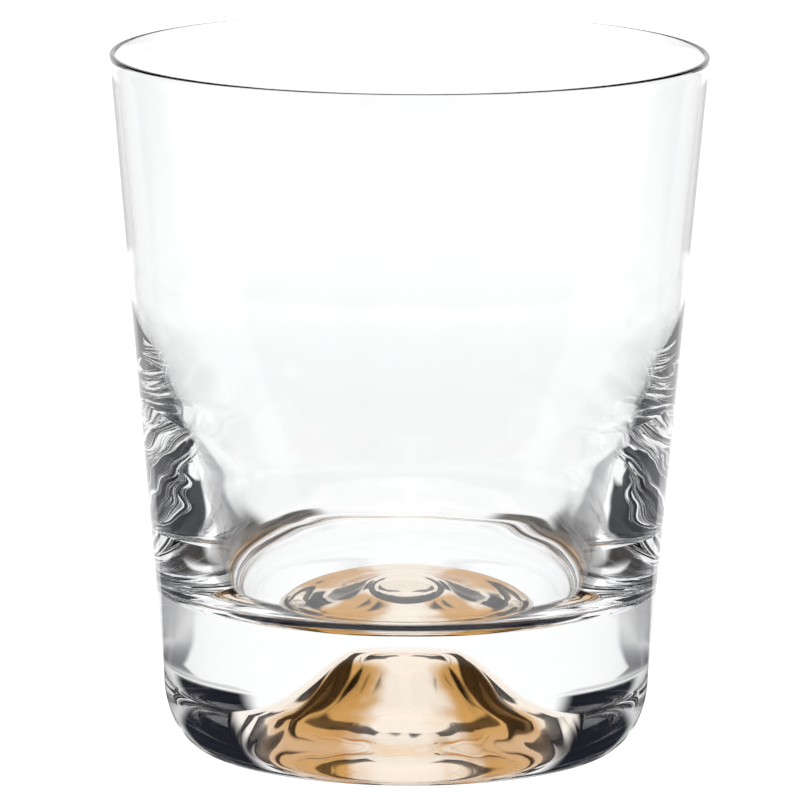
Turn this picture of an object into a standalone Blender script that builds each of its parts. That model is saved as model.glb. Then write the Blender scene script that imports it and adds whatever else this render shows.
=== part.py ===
"""A whiskey tumbler: a heavy-based tapered glass whose underside is pressed up into a gilded peak.

Run it with: blender --background --python part.py

Frame: metres, +Z up. The origin is the centre of the foot ring, on the surface that the glass stands on.
Both pieces are turned shapes around the Z axis.
"""

import math

import bmesh
import bpy
from mathutils import Vector

MM = 0.001

# Driving dimensions of the outside
HEIGHT = 101.0 * MM
RIM_RADIUS = 43.0 * MM
TABLE_RADIUS = 34.1 * MM  # where the tapered wall would meet the table, without its foot corner
RIM_WALL = 1.3 * MM
FOOT_CORNER_RADIAL = 6.8 * MM
FOOT_CORNER_HEIGHT = 10.4 * MM

# The inside: a thin wall down to the shoulder, then a bowl that thickens the wall down to a flat floor.
# Control points are (radius, height) in mm, from the wall to the axis.
SHOULDER_HEIGHT = 70.0 * MM
BOWL_CURVE = (
    (38.6, 63.0),
    (37.0, 55.5),
    (34.9, 48.0),
    (32.6, 41.0),
    (30.6, 34.5),
    (28.8, 28.0),
    (26.8, 21.7),
    (20.5, 21.6),
    (12.0, 21.6),
    (0.0, 21.6),
)

# The peak that stands up in the base, which is hollow from below.
# Control points are (radius, height) in mm, from beside the axis down to the foot.
PEAK_CURVE = (
    (0.0, 17.7),
    (2.6, 17.75),
    (5.2, 17.5),
    (7.2, 15.2),
    (9.5, 11.9),
    (12.0, 8.7),
    (14.8, 6.3),
    (17.4, 5.5),
    (19.4, 4.6),
    (20.5, 2.2),
    (20.9, 0.2),
)
LIP_RADIAL = 0.4 * MM  # the rounded step from the peak's skirt to the foot ring

# The gold lustre on the underside of the peak
COAT_GAP = 0.3 * MM
COAT_THICKNESS = 0.4 * MM
COAT_EDGE_RADIUS = 20.2 * MM

# How finely the outlines are cut up
SEGMENTS = 64
WALL_STEPS = 5
RIM_STEPS = 6
BOWL_STEPS = 20
CORNER_STEPS = 7
PEAK_STEPS = 22
LIP_STEPS = 3
MERGE_DISTANCE = 0.001 * MM


def outer_radius(height):
    """Radius of the tapered outer wall."""
    return TABLE_RADIUS + (RIM_RADIUS - TABLE_RADIUS) * height / HEIGHT


def quarter_turn(steps):
    """Angles from 0 to a right angle."""
    return [0.5 * math.pi * i / steps for i in range(steps + 1)]


def in_metres(points):
    return [(radius * MM, height * MM) for radius, height in points]


def curve_through(points, count):
    """A cubic B-spline along control points, which keeps the first and the last, as count + 1 points."""
    padded = [points[0]] * 2 + list(points) + [points[-1]] * 2
    spans = len(padded) - 3
    result = []
    for i in range(count + 1):
        place = spans * i / count
        span = min(int(place), spans - 1)
        t = place - span
        weights = (
            (1 - t) ** 3 / 6,
            (3 * t**3 - 6 * t**2 + 4) / 6,
            (-3 * t**3 + 3 * t**2 + 3 * t + 1) / 6,
            t**3 / 6,
        )
        near = padded[span : span + 4]
        radius = sum(weight * point[0] for weight, point in zip(weights, near))
        height = sum(weight * point[1] for weight, point in zip(weights, near))
        result.append((radius, height))
    return result


def peak_line():
    """The underside of the peak from its summit on the axis to the foot."""
    mirrored = (-PEAK_CURVE[1][0], PEAK_CURVE[1][1])
    curve = curve_through(in_metres((mirrored,) + PEAK_CURVE), PEAK_STEPS)
    curve = [point for point in curve if point[0] > 0.5 * MM]
    return [(0.0, curve[0][1])] + curve


def below_line(line, distance):
    """The points at a distance square to a line that starts on the axis, on its lower side."""
    points = [(0.0, line[0][1] - distance)]
    for before, here, after in zip(line, line[1:], line[2:]):
        along = Vector((after[0] - before[0], after[1] - before[1])).normalized()
        points.append((here[0] + along.y * distance, here[1] - along.x * distance))
    return points


def underside_outline():
    """From the peak's summit on the axis down its skirt and over the lip to the foot ring."""
    points = peak_line()
    edge_radius, lip_height = points[-1]
    for angle in quarter_turn(LIP_STEPS)[1:]:
        out = edge_radius + LIP_RADIAL * math.sin(angle)
        points.append((out, lip_height * (1.0 - math.sin(angle)) ** 2))
    return points


def outside_outline():
    """From the foot ring round the foot corner and up the outer wall to the rim."""
    corner_centre = outer_radius(FOOT_CORNER_HEIGHT) - FOOT_CORNER_RADIAL
    points = []
    for angle in quarter_turn(CORNER_STEPS):
        radius = corner_centre + FOOT_CORNER_RADIAL * math.sin(angle)
        points.append((radius, FOOT_CORNER_HEIGHT * (1.0 - math.cos(angle))))
    rim_start = HEIGHT - 0.5 * RIM_WALL
    for i in range(1, WALL_STEPS + 1):
        height = FOOT_CORNER_HEIGHT + (rim_start - FOOT_CORNER_HEIGHT) * i / WALL_STEPS
        points.append((outer_radius(height), height))
    return points


def rim_outline():
    """Over the fire-polished rim, from the outer wall to the inner wall."""
    centre = (outer_radius(HEIGHT) - 0.5 * RIM_WALL, HEIGHT - 0.5 * RIM_WALL)
    points = []
    for i in range(1, RIM_STEPS):
        angle = math.pi * i / RIM_STEPS
        across = 0.5 * RIM_WALL * math.cos(angle)
        points.append((centre[0] + across, centre[1] + 0.5 * RIM_WALL * math.sin(angle)))
    return points


def inside_outline():
    """Down the inner wall to the shoulder, then down the bowl and across its floor to the axis."""
    rim_end = HEIGHT - 0.5 * RIM_WALL
    points = []
    for i in range(WALL_STEPS):
        height = rim_end + (SHOULDER_HEIGHT - rim_end) * i / WALL_STEPS
        points.append((outer_radius(height) - RIM_WALL, height))
    shoulder = (outer_radius(SHOULDER_HEIGHT) - RIM_WALL, SHOULDER_HEIGHT)
    return points + curve_through([shoulder] + in_metres(BOWL_CURVE), BOWL_STEPS)


def turned_object(name, outline, material):
    """Spins an outline that starts and ends on the axis into one closed body."""
    body = bmesh.new()
    points = [body.verts.new((radius, 0.0, height)) for radius, height in outline]
    edges = [body.edges.new(pair) for pair in zip(points, points[1:])]
    bmesh.ops.spin(
        body,
        geom=points + edges,
        cent=(0.0, 0.0, 0.0),
        axis=(0.0, 0.0, 1.0),
        angle=2.0 * math.pi,
        steps=SEGMENTS,
    )
    bmesh.ops.remove_doubles(body, verts=body.verts, dist=MERGE_DISTANCE)
    bmesh.ops.recalc_face_normals(body, faces=body.faces)
    mesh = bpy.data.meshes.new(name)
    body.to_mesh(mesh)
    body.free()
    mesh.shade_smooth()
    mesh.materials.append(material)
    turned = bpy.data.objects.new(name, mesh)
    bpy.context.scene.collection.objects.link(turned)
    return turned


def make_material(name, colour, roughness, metallic, transmission, ior):
    material = bpy.data.materials.new(name)
    material.use_nodes = True
    shader = material.node_tree.nodes["Principled BSDF"]
    shader.inputs["Base Color"].default_value = (*colour, 1.0)
    shader.inputs["Roughness"].default_value = roughness
    shader.inputs["Metallic"].default_value = metallic
    shader.inputs["Transmission Weight"].default_value = transmission
    shader.inputs["IOR"].default_value = ior
    return material


def glass_body():
    """The one pressed and fire-polished piece of clear glass."""
    outline = underside_outline() + outside_outline() + rim_outline() + inside_outline()
    clear_glass = make_material("clear_glass", (0.98, 0.99, 0.99), 0.0, 0.0, 1.0, 1.52)
    return turned_object("glass_body", outline, clear_glass)


def peak_lining():
    """The gold lustre, as a thin bell that lies close under the glass."""
    covered = [point for point in peak_line() if point[0] <= COAT_EDGE_RADIUS]
    upper = below_line(covered, COAT_GAP)
    lower = below_line(covered, COAT_GAP + COAT_THICKNESS)
    gold_lustre = make_material("gold_lustre", (0.88, 0.68, 0.42), 0.08, 1.0, 0.0, 1.5)
    return turned_object("peak_lining", upper + lower[::-1], gold_lustre)


def main():
    for old in list(bpy.data.objects):
        bpy.data.objects.remove(old)
    glass_body()
    peak_lining()


main()
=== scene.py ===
"""The looks of a whiskey tumbler: fine clear glass with a gold-lined peak in its base.

The studio is lit as a bright field: white behind the glass and above it, and dark at its sides.
"""

import math

import bpy
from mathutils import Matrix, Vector, noise

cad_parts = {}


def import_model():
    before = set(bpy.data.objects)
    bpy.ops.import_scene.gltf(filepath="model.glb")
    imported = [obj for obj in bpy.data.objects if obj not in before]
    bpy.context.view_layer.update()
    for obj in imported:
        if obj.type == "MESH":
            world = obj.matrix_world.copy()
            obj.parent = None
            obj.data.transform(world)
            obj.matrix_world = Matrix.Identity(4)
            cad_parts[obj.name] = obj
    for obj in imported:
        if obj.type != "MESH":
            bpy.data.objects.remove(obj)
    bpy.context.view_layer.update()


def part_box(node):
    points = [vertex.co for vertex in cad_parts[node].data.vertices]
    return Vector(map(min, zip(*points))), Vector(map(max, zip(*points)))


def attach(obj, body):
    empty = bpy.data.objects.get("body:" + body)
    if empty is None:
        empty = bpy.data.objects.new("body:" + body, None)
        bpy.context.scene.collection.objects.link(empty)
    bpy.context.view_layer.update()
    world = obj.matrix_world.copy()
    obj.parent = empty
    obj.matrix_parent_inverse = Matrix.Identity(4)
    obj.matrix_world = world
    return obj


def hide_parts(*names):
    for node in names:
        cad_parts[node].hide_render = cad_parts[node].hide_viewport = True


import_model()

MM = 0.001

# The outside
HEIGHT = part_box("glass_body")[1][2]
RIM_RADIUS = 43.0 * MM
TABLE_RADIUS = 34.1 * MM  # where the tapered wall would meet the table, without its foot corner
FOOT_CORNER_RADIAL = 6.8 * MM
FOOT_CORNER_HEIGHT = 10.4 * MM

# The wall, which gets thinner towards the lip
RIM_WALL = 1.3 * MM
LIP_WALL = 0.8 * MM
LIP_TAPER = 30.0 * MM

# Control points of the bowl's curve, as (radius, height) in mm, from the wall down to the axis
SHOULDER_HEIGHT = 70.0 * MM
BOWL_CURVE = (
    (38.6, 63.0),
    (37.0, 55.5),
    (34.9, 48.0),
    (32.6, 41.0),
    (30.6, 34.5),
    (28.8, 28.0),
    (26.8, 21.7),
    (20.5, 21.6),
    (12.0, 21.6),
    (0.0, 21.6),
)

# Control points of the peak's underside, as (radius, height) in mm, from the axis out to the foot
PEAK_CURVE = (
    (0.0, 17.7),
    (2.6, 17.75),
    (5.2, 17.5),
    (7.2, 15.2),
    (9.5, 11.9),
    (12.0, 8.7),
    (14.8, 6.3),
    (17.4, 5.5),
    (19.4, 4.6),
    (20.5, 2.2),
    (20.9, 0.2),
)
PEAK_EDGE_RADIUS = 20.8 * MM
LIP_RADIAL = 0.4 * MM  # the rounded step from the peak's skirt to the foot ring
LIP_HEIGHT = 0.25 * MM

# The gold film, which reaches a little way into the glass so that no gap shows
LINING_EDGE_RADIUS = 20.5 * MM
LINING_OVERLAP = 0.02 * MM
LINING_THICKNESS = 0.08 * MM

# How finely the outlines are cut up
SEGMENTS = 256
ON_AXIS = 1e-7
PEAK_LINE_STEPS = 400
PEAK_STEPS = 140
LIP_STEPS = 8
CORNER_STEPS = 24
OUTER_WALL_STEPS = 30
RIM_STEPS = 14
INNER_WALL_STEPS = 24
BOWL_STEPS = 168
BOWL_CURVE_END = 0.05 * MM  # the bowl's curve stops this far from the axis, and one point on the axis follows

# How uneven the hand-finished surfaces are
PEAK_RIPPLE = 0.06 * MM
PEAK_RIPPLE_WIDTH = 3.5 * MM
PEAK_RIPPLE_FADE = 2.0 * MM
FLUTE_DEPTH = 0.10 * MM
FLUTE_LENGTH = 8.0 * MM
FLUTE_TURNS = 6.0  # about how many flutes there are in one radian
FLUTES_FROM = 8.0 * MM
FLUTES_FADE = 3.0 * MM
SMALLEST_RADIUS = 0.1 * MM  # keeps the flutes' directions from dividing by zero on the axis
BOWL_RIPPLE = 0.06 * MM
BOWL_RIPPLE_WIDTH = 14.0 * MM
BOWL_RIPPLE_HEIGHT = 3.5 * MM
BOWL_RIPPLE_BOTTOM = 33.0 * MM
BOWL_RIPPLE_BOTTOM_FADE = 10.0 * MM
BOWL_RIPPLE_TOP_FADE = 12.0 * MM

# Clear glass
GLASS_COLOUR = (0.985, 0.99, 0.992)
GLASS_IOR = 1.52

# Gold lustre: champagne, with amber streaks of painted shade beside the peak's front highlight
CHAMPAGNE = (0.93, 0.82, 0.70)
PAINTED_AMBER_SHADE = (0.62, 0.33, 0.10)
GOLD_ROUGHNESS = 0.05
STREAKS = 4.0
STREAK_WANDER = 1.2
STREAK_NOISE_SCALE = 180.0
STREAK_NOISE_DETAIL = 2.0
STREAK_EDGE = (0.15, 0.75)
STREAKS_FROM = (5.0 * MM, 8.0 * MM)

# Each edge below is a pair of places between which one light fades into the next.
# Azimuths are in degrees, on either side of straight behind the glass. Elevations are in degrees too.
BACKDROP_COLOUR = (1.1, 1.1, 1.1)
WING_COLOUR = (0.28, 0.28, 0.30)
ROOM_COLOUR = (0.012, 0.013, 0.02)
SOFTBOX_COLOUR = (1.15, 1.15, 1.15)

# The backdrop, up to these azimuths
PANEL_EDGE = (6.0, 11.0)
LOW_PANEL_EDGE = (27.0, 33.0)
LOW_PANEL_TOP = (30.0, 34.0)

# The softbox above, which comes down lower in front of the glass and at its sides
HOOD_EDGE = (54.0, 60.0)
HOOD_SIDE = (58.0, 68.0)
SOFTBOX_EDGE = (26.0, 31.0)
CHEEK_EDGE = (17.0, 22.0)
CHEEK_END = (118.0, 124.0)
SIDE_BOX = (-8.0, -2.0)
SIDE_BOX_END = (97.0, 104.0)
HORIZON_FADE = (0.0, 1.72)

# The light table near the glass, by azimuth, and how far out each part reaches, in metres
BACKDROP_EDGE = (39.0, 43.0)
WING_EDGE = (56.0, 64.0)
SHADED_TABLE = (0.12, 0.34)
NEAR_TABLE = (0.05, 0.08)
NEAR_BACK_EDGE = (31.0, 37.0)
NEAR_SIDE_EDGE = (84.0, 92.0)
NEAR_SIDE_COLOUR = (0.07, 0.066, 0.062)
FOOT_LIGHT = (0.0345, 0.0365)
SHADOW_RING = ((0.035, 0.0365), (0.047, 0.050))
SHADOW_RING_EDGE = (16.0, 22.0)
FRONT_EDGE = (84.0, 94.0)
FRONT_RING = ((0.09, 0.13), (0.14, 0.22))
FRONT_COLOUR = (0.4, 0.4, 0.41)

# The light table far from the glass
WALL_LINE_EDGE = (25.0, 31.0)
WALL_LINE_END = (56.0, 64.0)
WALL_LINE_START = (0.25, 0.33)
WALL_LINE_COLOUR = (0.78, 0.775, 0.775)
FAR_SIDE_EDGE = (44.0, 58.0)
FAR_SIDE_END = (76.0, 90.0)
FAR_SIDE_RING = ((0.24, 0.40), (0.6, 0.9))
FAR_SIDE_COLOUR = (0.6, 0.6, 0.61)

# The floor and the wall that the camera sees
FLOOR_ALBEDO = 0.25
FLOOR_ROUGHNESS = 0.6
FLOOR_GLOW = 1.0
FLOOR_HALF_WIDTH = 3.0
FLOOR_HEIGHT = -0.10 * MM
LIGHT_TABLE_HEIGHT = -0.05 * MM
WALL_RADIUS = 2.9
WALL_TOP = 2.5
WALL_SIDES = 90

# Camera
VIEW_DISTANCE = 1.29
VIEW_ELEVATION = math.radians(10.0)
VIEW_SIDE = -1.1 * MM
VIEW_ROLL = math.radians(0.33)
LENS = 403.0
SENSOR_WIDTH = 36.0
CLIP_START = 0.01

# Light bounces, enough to pass through all the glass walls
MAX_BOUNCES = 24
TRANSMISSION_BOUNCES = 20
GLOSSY_BOUNCES = 16


def outer_radius(height):
    """Radius of the tapered outer wall."""
    return TABLE_RADIUS + (RIM_RADIUS - TABLE_RADIUS) * height / HEIGHT


def steps(count):
    """Even steps from 0 to 1."""
    return [i / count for i in range(count + 1)]


def curve_through(points, count):
    """A cubic B-spline along control points, which keeps the first and the last, as count + 1 points."""
    padded = [points[0]] * 2 + list(points) + [points[-1]] * 2
    spans = len(padded) - 3
    result = []
    for i in range(count + 1):
        place = spans * i / count
        span = min(int(place), spans - 1)
        t = place - span
        weights = (
            (1 - t) ** 3 / 6,
            (3 * t**3 - 6 * t**2 + 4) / 6,
            (-3 * t**3 + 3 * t**2 + 3 * t + 1) / 6,
            t**3 / 6,
        )
        near = padded[span : span + 4]
        radius = sum(weight * point[0] for weight, point in zip(weights, near))
        height = sum(weight * point[1] for weight, point in zip(weights, near))
        result.append((radius, height))
    return result


def in_metres(points):
    return [(radius * MM, height * MM) for radius, height in points]


def peak_line():
    """The underside of the peak, finely cut, from the axis to the foot."""
    mirrored = (-PEAK_CURVE[1][0], PEAK_CURVE[1][1])
    curve = curve_through(in_metres((mirrored,) + PEAK_CURVE), PEAK_LINE_STEPS)
    return [point for point in curve if point[0] >= 0.0]


PEAK_LINE = peak_line()


def peak_surface(radius):
    """Height of the peak's underside at a radius."""
    for (r0, z0), (r1, z1) in zip(PEAK_LINE, PEAK_LINE[1:]):
        if radius <= r1:
            return z0 + (z1 - z0) * (radius - r0) / max(r1 - r0, 1e-9)
    return PEAK_LINE[-1][1]


def off_peak(radius, distance):
    """A point at a distance above the peak's surface (below it when negative)."""
    step = 0.01 * MM
    if radius < step:
        return 0.0, peak_surface(0.0) + distance
    fall = (peak_surface(radius - step) - peak_surface(radius + step)) / (2.0 * step)
    square = Vector((fall, 1.0)).normalized() * distance
    return radius + square.x, peak_surface(radius) + square.y


def between_0_and_1(value):
    return min(1.0, max(0.0, value))


def still(x, y, z):
    """No unevenness at all."""
    return 0.0, 0.0


def peak_ripple(x, y, z):
    """A faint unevenness of the peak's surface, and flutes down its skirt, as (radial, upward)."""
    away = math.hypot(x, y)
    size = PEAK_RIPPLE * noise.noise(Vector((x, y, 0.0)) / PEAK_RIPPLE_WIDTH)
    skirt = between_0_and_1((away - FLUTES_FROM) / FLUTES_FADE)
    round_about = Vector((x, y, 0.0)) * FLUTE_TURNS / max(away, SMALLEST_RADIUS)
    size += FLUTE_DEPTH * skirt * noise.noise(round_about + Vector((0.0, 0.0, away / FLUTE_LENGTH)))
    edge = between_0_and_1((PEAK_EDGE_RADIUS - away) / PEAK_RIPPLE_FADE)
    return 0.0, edge * size


def bowl_ripple(x, y, z):
    """Faint level waves on the inside of the thick wall, as (radial, upward)."""
    place = Vector((x / BOWL_RIPPLE_WIDTH, y / BOWL_RIPPLE_WIDTH, z / BOWL_RIPPLE_HEIGHT))
    top = between_0_and_1((SHOULDER_HEIGHT - z) / BOWL_RIPPLE_TOP_FADE)
    bottom = between_0_and_1((z - BOWL_RIPPLE_BOTTOM) / BOWL_RIPPLE_BOTTOM_FADE)
    return BOWL_RIPPLE * min(top, bottom) * noise.noise(place), 0.0


def foot_outline():
    """Over the lip to the foot ring and round the foot corner, as (radius, height)."""
    points = []
    for t in steps(LIP_STEPS)[1:]:
        turn = math.sin(0.5 * math.pi * t)
        points.append((PEAK_EDGE_RADIUS + LIP_RADIAL * turn, LIP_HEIGHT * (1.0 - turn) ** 2))
    corner_centre = outer_radius(FOOT_CORNER_HEIGHT) - FOOT_CORNER_RADIAL
    for t in steps(CORNER_STEPS):
        angle = 0.5 * math.pi * t
        radius = corner_centre + FOOT_CORNER_RADIAL * math.sin(angle)
        points.append((radius, FOOT_CORNER_HEIGHT * (1.0 - math.cos(angle))))
    return points


def wall_outline():
    """Up the outer wall, over the rim and down the inner wall, as (radius, height)."""
    points = []
    rim_start = HEIGHT - 0.5 * LIP_WALL
    for t in steps(OUTER_WALL_STEPS)[1:]:
        height = FOOT_CORNER_HEIGHT + (rim_start - FOOT_CORNER_HEIGHT) * t
        points.append((outer_radius(height), height))
    centre = outer_radius(HEIGHT) - 0.5 * LIP_WALL
    for t in steps(RIM_STEPS)[1:-1]:
        angle = math.pi * t
        radius = centre + 0.5 * LIP_WALL * math.cos(angle)
        points.append((radius, rim_start + 0.5 * LIP_WALL * math.sin(angle)))
    for t in steps(INNER_WALL_STEPS)[:-1]:
        height = rim_start + (SHOULDER_HEIGHT - rim_start) * t
        wall = LIP_WALL + (RIM_WALL - LIP_WALL) * min(1.0, (rim_start - height) / LIP_TAPER)
        points.append((outer_radius(height) - wall, height))
    return points


def bowl_outline():
    """From the shoulder down the bowl and across its floor to the axis, as (radius, height)."""
    shoulder = (outer_radius(SHOULDER_HEIGHT) - RIM_WALL, SHOULDER_HEIGHT)
    bowl = in_metres(BOWL_CURVE)
    mirrored = (-bowl[-2][0], bowl[-2][1])
    curve = curve_through([shoulder] + bowl + [mirrored], BOWL_STEPS)
    return [point for point in curve if point[0] > BOWL_CURVE_END] + [bowl[-1]]


def glass_outline():
    """The glass in half section, as (radius, height, ripple), from the peak's summit to the bowl's floor."""
    peak = [(PEAK_EDGE_RADIUS * t, peak_surface(PEAK_EDGE_RADIUS * t)) for t in steps(PEAK_STEPS)]
    outline = [(*point, peak_ripple) for point in peak]
    outline += [(*point, still) for point in foot_outline() + wall_outline()]
    outline += [(*point, bowl_ripple) for point in bowl_outline()]
    return outline


def lining_outline():
    """The gold film in half section, as (radius, height, ripple): down its underside and back up on top."""
    radii = [LINING_EDGE_RADIUS * t for t in steps(PEAK_STEPS)]
    upper = [off_peak(radius, LINING_OVERLAP) for radius in radii]
    lower = [off_peak(radius, LINING_OVERLAP - LINING_THICKNESS) for radius in radii]
    return [(*point, peak_ripple) for point in lower + upper[::-1]]


def turned_piece(name, outline, material):
    """A closed body of revolution from an outline that starts and ends on the axis."""
    vertices, faces, rings = [], [], []
    for radius, height, ripple in outline:
        first = len(vertices)
        count = 1 if radius < ON_AXIS else SEGMENTS
        rings.append(list(range(first, first + count)))
        for k in range(count):
            angle = 2.0 * math.pi * k / count
            across, along = math.cos(angle), math.sin(angle)
            outward, upward = ripple(radius * across, radius * along, height)
            vertices.append(((radius + outward) * across, (radius + outward) * along, height + upward))
    for low, high in zip(rings, rings[1:]):
        for k in range(SEGMENTS):
            after = (k + 1) % SEGMENTS
            corners = [
                low[k % len(low)],
                low[after % len(low)],
                high[after % len(high)],
                high[k % len(high)],
            ]
            faces.append(list(dict.fromkeys(corners)))
    mesh = bpy.data.meshes.new(name)
    mesh.from_pydata(vertices, [], faces)
    mesh.validate()
    mesh.shade_smooth()
    mesh.materials.append(material)
    piece = bpy.data.objects.new(name, mesh)
    bpy.context.scene.collection.objects.link(piece)
    return piece


def opaque(colour):
    """Three numbers as a colour with alpha. A socket stays as it is."""
    return (*colour, 1.0) if isinstance(colour, tuple) else colour


def glass_material():
    material = bpy.data.materials.new("clear_glass")
    material.use_nodes = True
    shader = material.node_tree.nodes["Principled BSDF"]
    shader.inputs["Base Color"].default_value = opaque(GLASS_COLOUR)
    shader.inputs["Roughness"].default_value = 0.0
    shader.inputs["IOR"].default_value = GLASS_IOR
    shader.inputs["Transmission Weight"].default_value = 1.0
    return material


class NodeTree:
    """Short calls for building a shader out of math nodes. An edge is a pair of places."""

    def __init__(self, tree):
        self.nodes = tree.nodes
        self.links = tree.links

    def feed(self, socket, value):
        if isinstance(value, bpy.types.NodeSocket):
            self.links.new(value, socket)
        else:
            socket.default_value = value

    def math(self, operation, *values):
        node = self.nodes.new("ShaderNodeMath")
        node.operation = operation
        for socket, value in zip(node.inputs, values):
            self.feed(socket, value)
        return node.outputs[0]

    def ramp(self, value, edge):
        """0 below an edge and 1 above it, with soft corners."""
        node = self.nodes.new("ShaderNodeMapRange")
        node.interpolation_type = "SMOOTHSTEP"
        self.feed(node.inputs["Value"], value)
        node.inputs["From Min"].default_value = edge[0]
        node.inputs["From Max"].default_value = edge[1]
        return node.outputs["Result"]

    def fade(self, value, edge):
        """1 below an edge and 0 above it."""
        return self.math("SUBTRACT", 1.0, self.ramp(value, edge))

    def both(self, one, other):
        return self.math("MULTIPLY", one, other)

    def either(self, one, other):
        return self.math("MAXIMUM", one, other)

    def distance(self, x, y):
        return self.math("SQRT", self.math("ADD", self.both(x, x), self.both(y, y)))

    def azimuth(self, x, y):
        """In degrees on either side of straight behind the glass."""
        return self.math("DEGREES", self.math("ABSOLUTE", self.math("ARCTAN2", x, y)))

    def mix(self, factor, low, high):
        """From one colour to another. A colour is three numbers or a socket."""
        node = self.nodes.new("ShaderNodeMix")
        node.data_type = "RGBA"
        self.feed(node.inputs["Factor"], factor)
        self.feed(node.inputs["A"], opaque(low))
        self.feed(node.inputs["B"], opaque(high))
        return node.outputs["Result"]

    def noise(self, place, scale, detail):
        """Noise between -1 and 1."""
        node = self.nodes.new("ShaderNodeTexNoise")
        node.inputs["Scale"].default_value = scale
        node.inputs["Detail"].default_value = detail
        self.feed(node.inputs["Vector"], place)
        return self.math("MULTIPLY_ADD", node.outputs["Fac"], 2.0, -1.0)


def gold_material():
    """Gold lustre: champagne, with amber streaks painted in as shade for the warmer, darker reflections
    beside the peak's front highlight.
    """
    material = bpy.data.materials.new("gold_lustre")
    material.use_nodes = True
    tree = NodeTree(material.node_tree)
    shader = tree.nodes["Principled BSDF"]
    place = tree.nodes.new("ShaderNodeTexCoord").outputs["Object"]
    split = tree.nodes.new("ShaderNodeSeparateXYZ")
    tree.links.new(place, split.inputs[0])
    x, y, _ = split.outputs
    # The amber streaks are painted shade. They lie about 45 and 135 degrees either side of the front, where
    # the reflection beside the front highlight turns dark.
    turn = tree.math("MULTIPLY", STREAKS, tree.math("ARCTAN2", x, tree.math("MULTIPLY", y, -1.0)))
    wander = tree.noise(place, STREAK_NOISE_SCALE, STREAK_NOISE_DETAIL)
    turn = tree.math("MULTIPLY_ADD", wander, STREAK_WANDER, turn)
    amber_shade = tree.math("MULTIPLY_ADD", tree.math("COSINE", turn), -0.5, 0.5)
    amber_shade = tree.both(amber_shade, tree.ramp(tree.distance(x, y), STREAKS_FROM))
    amber_shade = tree.ramp(amber_shade, STREAK_EDGE)
    tree.links.new(tree.mix(amber_shade, CHAMPAGNE, PAINTED_AMBER_SHADE), shader.inputs["Base Color"])
    shader.inputs["Roughness"].default_value = GOLD_ROUGHNESS
    shader.inputs["Metallic"].default_value = 1.0
    return material


def add_tumbler():
    glass = turned_piece("tumbler_glass", glass_outline(), glass_material())
    lining = turned_piece("gold_peak_lining", lining_outline(), gold_material())
    for piece, node, slot in (
        (glass, "glass_body", "clear_glass"),
        (lining, "peak_lining", "gold_lustre"),
    ):
        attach(piece, "root")
        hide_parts(node)


def staged(name, corners, faces, material):
    """A piece of the studio, which isn't part of the glass."""
    mesh = bpy.data.meshes.new(name)
    mesh.from_pydata(corners, [], faces)
    mesh.materials.append(material)
    piece = bpy.data.objects.new(name, mesh)
    bpy.context.scene.collection.objects.link(piece)
    return piece


def flat_sheet(name, height, material):
    turns = ((-1, -1), (1, -1), (1, 1), (-1, 1))
    corners = [(FLOOR_HALF_WIDTH * i, FLOOR_HALF_WIDTH * j, height) for i, j in turns]
    return staged(name, corners, [(0, 1, 2, 3)], material)


def round_wall(name, material):
    """An upright wall all round the glass."""
    corners = []
    for i in range(WALL_SIDES + 1):
        angle = 2.0 * math.pi * i / WALL_SIDES
        for height in (FLOOR_HEIGHT, WALL_TOP):
            corners.append((WALL_RADIUS * math.sin(angle), WALL_RADIUS * math.cos(angle), height))
    faces = [(2 * i, 2 * i + 2, 2 * i + 3, 2 * i + 1) for i in range(WALL_SIDES)]
    return staged(name, corners, faces, material)


def hide_from_glass(piece):
    """Only the camera sees it, next to the glass and not through it."""
    piece.visible_transmission = False
    piece.visible_glossy = False
    piece.visible_shadow = False


def hide_from_camera(piece):
    """Only the glass and the gold see it."""
    piece.visible_camera = False
    piece.visible_diffuse = False
    piece.visible_shadow = False


def add_surroundings():
    """The pale floor and the pale wall far round it."""
    material = bpy.data.materials.new("pale_floor")
    material.use_nodes = True
    shader = material.node_tree.nodes["Principled BSDF"]
    shader.inputs["Base Color"].default_value = opaque((FLOOR_ALBEDO,) * 3)
    shader.inputs["Roughness"].default_value = FLOOR_ROUGHNESS
    shader.inputs["Specular IOR Level"].default_value = 0.0
    shader.inputs["Emission Color"].default_value = (1.0, 1.0, 1.0, 1.0)
    shader.inputs["Emission Strength"].default_value = FLOOR_GLOW
    hide_from_glass(flat_sheet("floor", FLOOR_HEIGHT, material))
    hide_from_glass(round_wall("wall", material))


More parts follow.
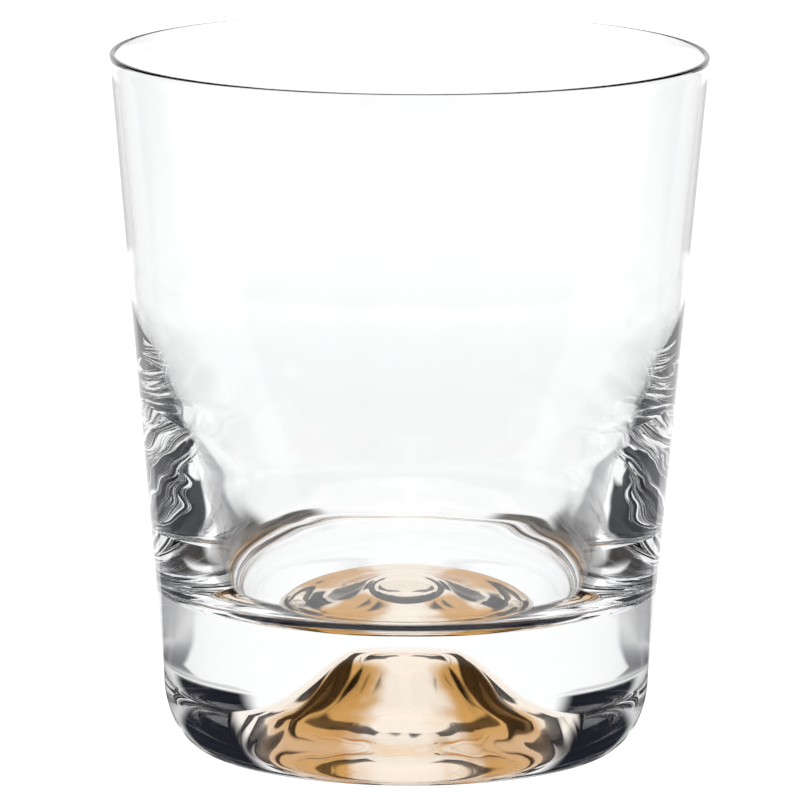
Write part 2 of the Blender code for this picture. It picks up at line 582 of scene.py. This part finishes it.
def add_light_table():
    """The glowing sheet that the glass stands on."""
    material = bpy.data.materials.new("light_table")
    material.use_nodes = True
    tree = NodeTree(material.node_tree)
    tree.nodes.remove(tree.nodes["Principled BSDF"])
    glow = tree.nodes.new("ShaderNodeEmission")
    tree.links.new(glow.outputs[0], tree.nodes["Material Output"].inputs["Surface"])
    split = tree.nodes.new("ShaderNodeSeparateXYZ")
    tree.links.new(tree.nodes.new("ShaderNodeNewGeometry").outputs["Position"], split.inputs[0])
    x, y, _ = split.outputs
    away = tree.distance(x, y)
    azimuth = tree.azimuth(x, y)

    def beyond(edge):
        return tree.ramp(azimuth, edge)

    def before(edge):
        return tree.fade(azimuth, edge)

    def ring(inner, outer):
        return tree.both(tree.ramp(away, inner), tree.fade(away, outer))

    line = tree.both(beyond(WALL_LINE_EDGE), before(WALL_LINE_END))
    line = tree.both(line, tree.ramp(away, WALL_LINE_START))
    far = tree.mix(line, BACKDROP_COLOUR, WALL_LINE_COLOUR)
    side = tree.both(beyond(FAR_SIDE_EDGE), before(FAR_SIDE_END))
    side = tree.both(side, ring(*FAR_SIDE_RING))
    far = tree.mix(side, far, FAR_SIDE_COLOUR)
    middle = tree.mix(before(WING_EDGE), ROOM_COLOUR, WING_COLOUR)
    middle = tree.mix(before(BACKDROP_EDGE), middle, BACKDROP_COLOUR)
    shade = tree.mix(tree.fade(away, SHADED_TABLE), far, middle)
    front = tree.both(beyond(FRONT_EDGE), ring(*FRONT_RING))
    shade = tree.mix(front, shade, FRONT_COLOUR)
    near = tree.mix(beyond(NEAR_SIDE_EDGE), NEAR_SIDE_COLOUR, ROOM_COLOUR)
    foot = tree.both(before(NEAR_SIDE_EDGE), tree.fade(away, FOOT_LIGHT))
    dark = tree.either(beyond(NEAR_BACK_EDGE), tree.both(beyond(SHADOW_RING_EDGE), ring(*SHADOW_RING)))
    dark = tree.both(dark, tree.math("SUBTRACT", 1.0, foot))
    near = tree.mix(dark, BACKDROP_COLOUR, near)
    tree.links.new(tree.mix(tree.ramp(away, NEAR_TABLE), near, shade), glow.inputs["Color"])
    hide_from_camera(flat_sheet("light_table", LIGHT_TABLE_HEIGHT, material))


def add_world():
    """Studio light by direction: a white backdrop behind, a white softbox above and a dark room."""
    world = bpy.data.worlds.new("studio")
    bpy.context.scene.world = world
    world.use_nodes = True
    tree = NodeTree(world.node_tree)
    split = tree.nodes.new("ShaderNodeSeparateXYZ")
    tree.links.new(tree.nodes.new("ShaderNodeTexCoord").outputs["Generated"], split.inputs[0])
    x, y, z = split.outputs
    elevation = tree.math("DEGREES", tree.math("ARCSINE", z))
    azimuth = tree.azimuth(x, y)
    side = tree.both(tree.fade(azimuth, SIDE_BOX_END), tree.ramp(elevation, SIDE_BOX))
    cheek = tree.both(tree.fade(azimuth, CHEEK_END), tree.ramp(elevation, CHEEK_EDGE))
    low = tree.either(tree.either(side, cheek), tree.ramp(elevation, SOFTBOX_EDGE))
    front = tree.ramp(azimuth, HOOD_SIDE)
    softbox = tree.either(tree.ramp(elevation, HOOD_EDGE), tree.both(front, low))
    low_panel = tree.both(tree.fade(azimuth, LOW_PANEL_EDGE), tree.fade(elevation, LOW_PANEL_TOP))
    backdrop = tree.either(tree.fade(azimuth, PANEL_EDGE), low_panel)
    above = tree.mix(backdrop, ROOM_COLOUR, BACKDROP_COLOUR)
    above = tree.mix(softbox, above, SOFTBOX_COLOUR)
    colour = tree.mix(tree.ramp(elevation, HORIZON_FADE), BACKDROP_COLOUR, above)
    tree.links.new(colour, tree.nodes["Background"].inputs["Color"])


def add_camera():
    data = bpy.data.cameras.new("camera")
    camera = bpy.data.objects.new("camera", data)
    bpy.context.scene.collection.objects.link(camera)
    data.lens = LENS
    data.sensor_width = SENSOR_WIDTH
    data.clip_start = CLIP_START
    target = Vector((VIEW_SIDE, 0.0, 0.5 * HEIGHT))
    away = Vector((0.0, -math.cos(VIEW_ELEVATION), math.sin(VIEW_ELEVATION)))
    camera.location = target + away * VIEW_DISTANCE
    rotation = (-away).to_track_quat("-Z", "Y")
    camera.rotation_euler = rotation.to_euler()
    camera.rotation_euler.rotate_axis("Z", VIEW_ROLL)
    bpy.context.scene.camera = camera


def set_up_rendering():
    scene = bpy.context.scene
    scene.view_settings.view_transform = "Standard"
    scene.cycles.max_bounces = MAX_BOUNCES
    scene.cycles.transmission_bounces = TRANSMISSION_BOUNCES
    scene.cycles.glossy_bounces = GLOSSY_BOUNCES


add_tumbler()
add_surroundings()
add_light_table()
add_world()
add_camera()
set_up_rendering()
